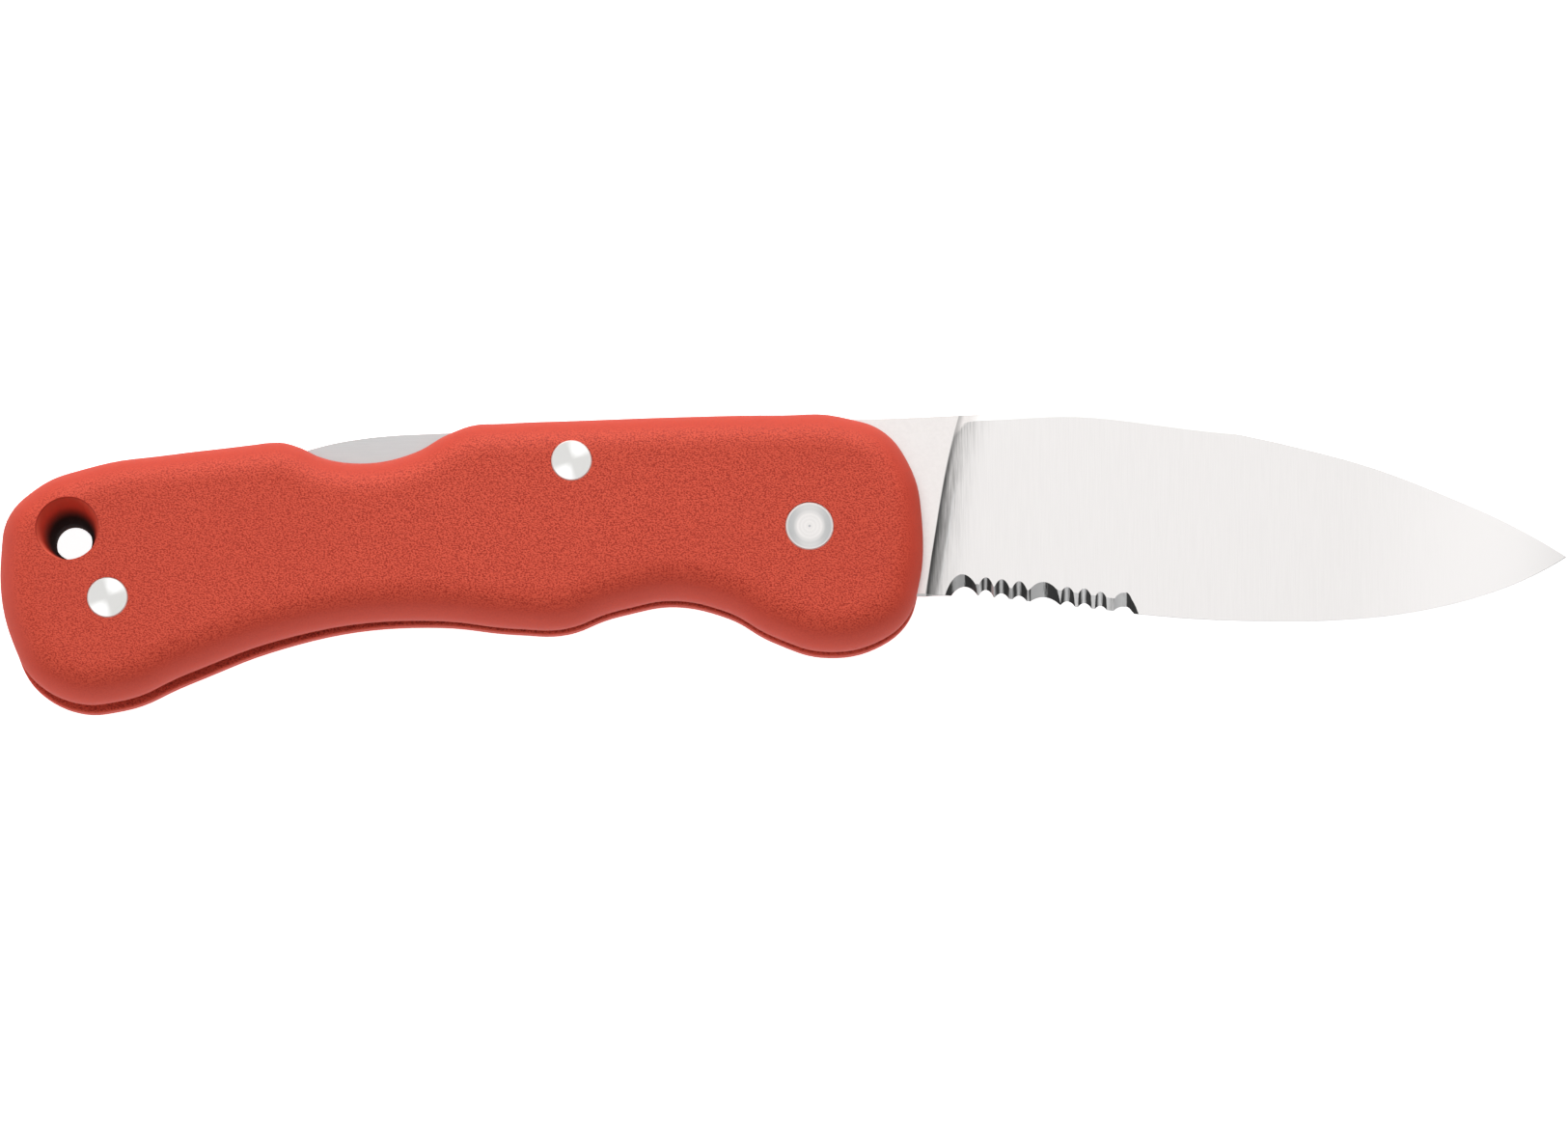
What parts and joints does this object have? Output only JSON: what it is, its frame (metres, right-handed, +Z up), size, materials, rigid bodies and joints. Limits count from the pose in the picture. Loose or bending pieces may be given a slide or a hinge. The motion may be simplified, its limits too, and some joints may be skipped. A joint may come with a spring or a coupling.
{
  "type": "folding rigging knife",
  "caption": "Lock-back folding knife with contoured moulded scales, part-serrated drop-point blade, thumb-notch lock bar and a lanyard hole.",
  "frame": {"origin": "centre of the open knife's outline on the surface it lies on", "axes": "+X along the knife toward the blade tip, +Y toward the spine and lock bar, +Z up out of the right-hand scale"},
  "size_m": [0.1694, 0.0328, 0.014],
  "materials": {
    "scale": "fine grained moulded nylon",
    "liner": "satin",
    "spacer": "moulded nylon",
    "blade": "vertical satin grind",
    "lock_bar": "satin",
    "spring": "spring temper",
    "pin": "ground",
    "washer": "phosphor bronze",
    "pivot_rivet": "lathe turned",
    "rivet": "lathe turned"
  },
  "bodies": {
    "handle": {"right_scale": "scale", "left_scale": "scale", "right_liner": "liner", "left_liner": "liner", "rear_spacer": "spacer", "spring_pin": "pin", "right_washer": "washer", "left_washer": "washer", "pivot_barrel": "pivot_rivet", "pivot_plug": "pivot_rivet", "lock_rivet_barrel": "rivet", "lock_rivet_plug": "rivet", "rear_rivet_barrel": "rivet", "rear_rivet_plug": "rivet"},
    "blade": {"blade": "blade"},
    "lock_bar": {"lock_bar": "lock_bar"},
    "lock_spring": {"lock_spring": "spring"}
  },
  "joints": [
    {"name": "blade_pivot", "type": "hinge", "parent": "handle", "child": "blade", "pos_m": [0.00271, 0.00295, 0.007], "axis": [0, 0, 1], "range_deg": [-167, 0]},
    {"name": "lock_rocker", "type": "hinge", "parent": "handle", "child": "lock_bar", "pos_m": [-0.02295, 0.01009, 0.007], "axis": [0, 0, 1], "range_deg": [0, 4.9], "stiffness_Nm_per_rad": 2, "springref_deg": -2.86},
    {"name": "spring_flex", "type": "hinge", "parent": "handle", "child": "lock_spring", "pos_m": [-0.05779, 0.00345, 0.007], "axis": [0, 0, 1], "range_deg": [-2.8, 0]}
  ],
  "couplings": [
    {"joint": "spring_flex", "follows": "lock_rocker", "ratio": -0.56}
  ]
}
